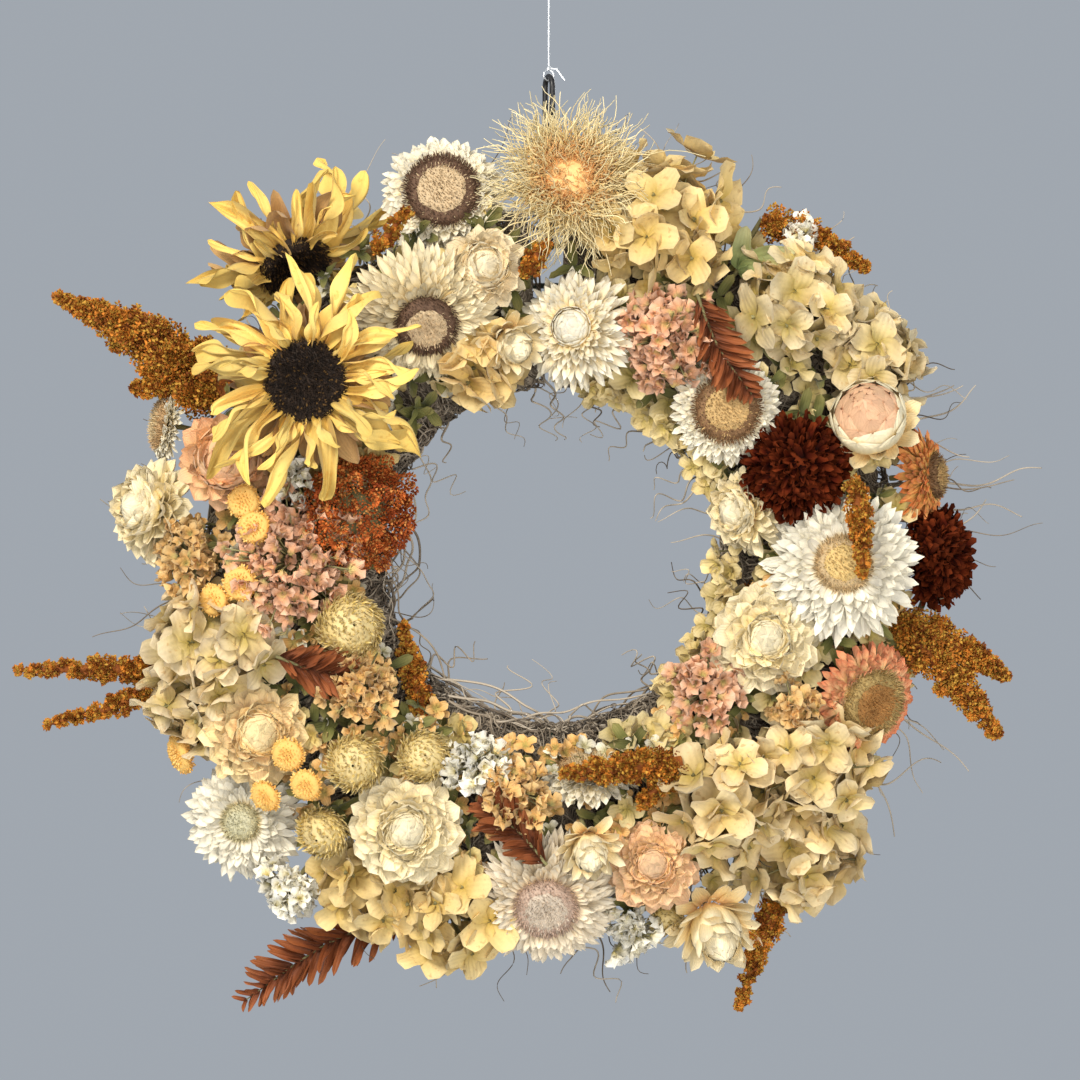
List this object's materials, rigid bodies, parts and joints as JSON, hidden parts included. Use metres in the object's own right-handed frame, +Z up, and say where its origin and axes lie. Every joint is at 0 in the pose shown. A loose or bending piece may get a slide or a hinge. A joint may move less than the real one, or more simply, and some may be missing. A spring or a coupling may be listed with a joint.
{
  "type": "harvest door wreath",
  "caption": "Round wreath of dried flowers and seed heads on a moss-bound wire form, hung by a twisted wire loop from a clear line.",
  "frame": {"origin": "inner top of the wire hanging loop, where the clear line pulls on it", "axes": "+Z up along the hanging line; -Y the way the flowers face, away from the wall; +X to the viewer's right"},
  "size_m": [0.4257, 0.0946, 0.4299],
  "materials": {
    "amaranth_orange_seed": "matte",
    "amaranth_seed": "matte",
    "button_yellow": "matte",
    "clear_line": "gloss",
    "cream_bract": "satin",
    "dry_green": "matte",
    "fern_rust": "matte",
    "frame_wire": "satin",
    "globe_bract": "matte",
    "hydrangea_sepal": "matte",
    "ivory_bract": "satin",
    "loop_wire": "satin",
    "moss": "matte",
    "orange_bract": "satin",
    "peach_bract": "satin",
    "pink_bract": "satin",
    "spider_petal": "matte",
    "statice_peach_petal": "matte",
    "statice_pink_petal": "matte",
    "statice_white_petal": "matte",
    "sunflower_disc": "matte",
    "sunflower_petal": "matte",
    "vine": "matte",
    "yellow_bract": "satin",
    "zinnia_petal": "matte"
  },
  "bodies": {
    "line": {"hanging_line": "clear_line", "line_knot": "clear_line", "line_eye": "clear_line"},
    "hanger": {"hanging_loop": "loop_wire"},
    "wreath": {"amaranth_bottom_centre": "amaranth_seed", "amaranth_bottom_right": "amaranth_seed", "amaranth_inner_left": "amaranth_seed", "amaranth_inner_right": "amaranth_seed", "amaranth_left": "amaranth_seed", "amaranth_orange": "amaranth_orange_seed", "amaranth_right": "amaranth_seed", "amaranth_sprigs": "amaranth_seed", "amaranth_top_right": "amaranth_seed", "amaranth_upper_left": "amaranth_seed", "binding_wire": "frame_wire", "fern_fronds": "fern_rust", "frame_braces": "frame_wire", "frame_rings": "frame_wire", "gomphrena_globes": "globe_bract", "hydrangea_bottom": "hydrangea_sepal", "hydrangea_leaf": "dry_green", "hydrangea_left": "hydrangea_sepal", "hydrangea_lower_right": "hydrangea_sepal", "hydrangea_right": "hydrangea_sepal", "hydrangea_top": "hydrangea_sepal", "moss_bundles": "moss", "moss_tendrils": "vine", "spider_flower": "spider_petal", "statice_peach": "statice_peach_petal", "statice_pink": "statice_pink_petal", "statice_white": "statice_white_petal", "strawflower_blush_bottom": "cream_bract", "strawflower_brown_eye": "ivory_bract", "strawflower_buds": "cream_bract", "strawflower_cream_inner_top": "peach_bract", "strawflower_cream_side": "cream_bract", "strawflower_cream_top": "cream_bract", "strawflower_ivory_top": "ivory_bract", "strawflower_orange_side": "orange_bract", "strawflower_pale_bottom": "peach_bract", "strawflower_peach_left": "peach_bract", "strawflower_peach_top": "peach_bract", "strawflower_pink_bottom": "pink_bract", "strawflower_pink_brown_eye": "pink_bract", "strawflower_pink_left": "pink_bract", "strawflower_side_dome": "ivory_bract", "strawflower_upright": "cream_bract", "strawflower_white_large": "ivory_bract", "strawflower_white_left": "ivory_bract", "strawflower_white_side": "ivory_bract", "strawflower_yellow_right": "yellow_bract", "sunflower_lower_disc": "sunflower_disc", "sunflower_lower_rays": "sunflower_petal", "sunflower_upper_disc": "sunflower_disc", "sunflower_upper_rays": "sunflower_petal", "tansy_buttons": "button_yellow", "zinnia_inner": "zinnia_petal", "zinnia_outer": "zinnia_petal"}
  },
  "joints": [
    {"name": "side_sway", "type": "hinge", "parent": "line", "child": "hanger", "pos_m": [0, 0, 0], "axis": [0, 1, 0], "range_deg": [-15, 15]},
    {"name": "front_tilt", "type": "hinge", "parent": "hanger", "child": "wreath", "pos_m": [0, 0, -0.06801], "axis": [-1, 0, 0], "range_deg": [0, 15]}
  ]
}
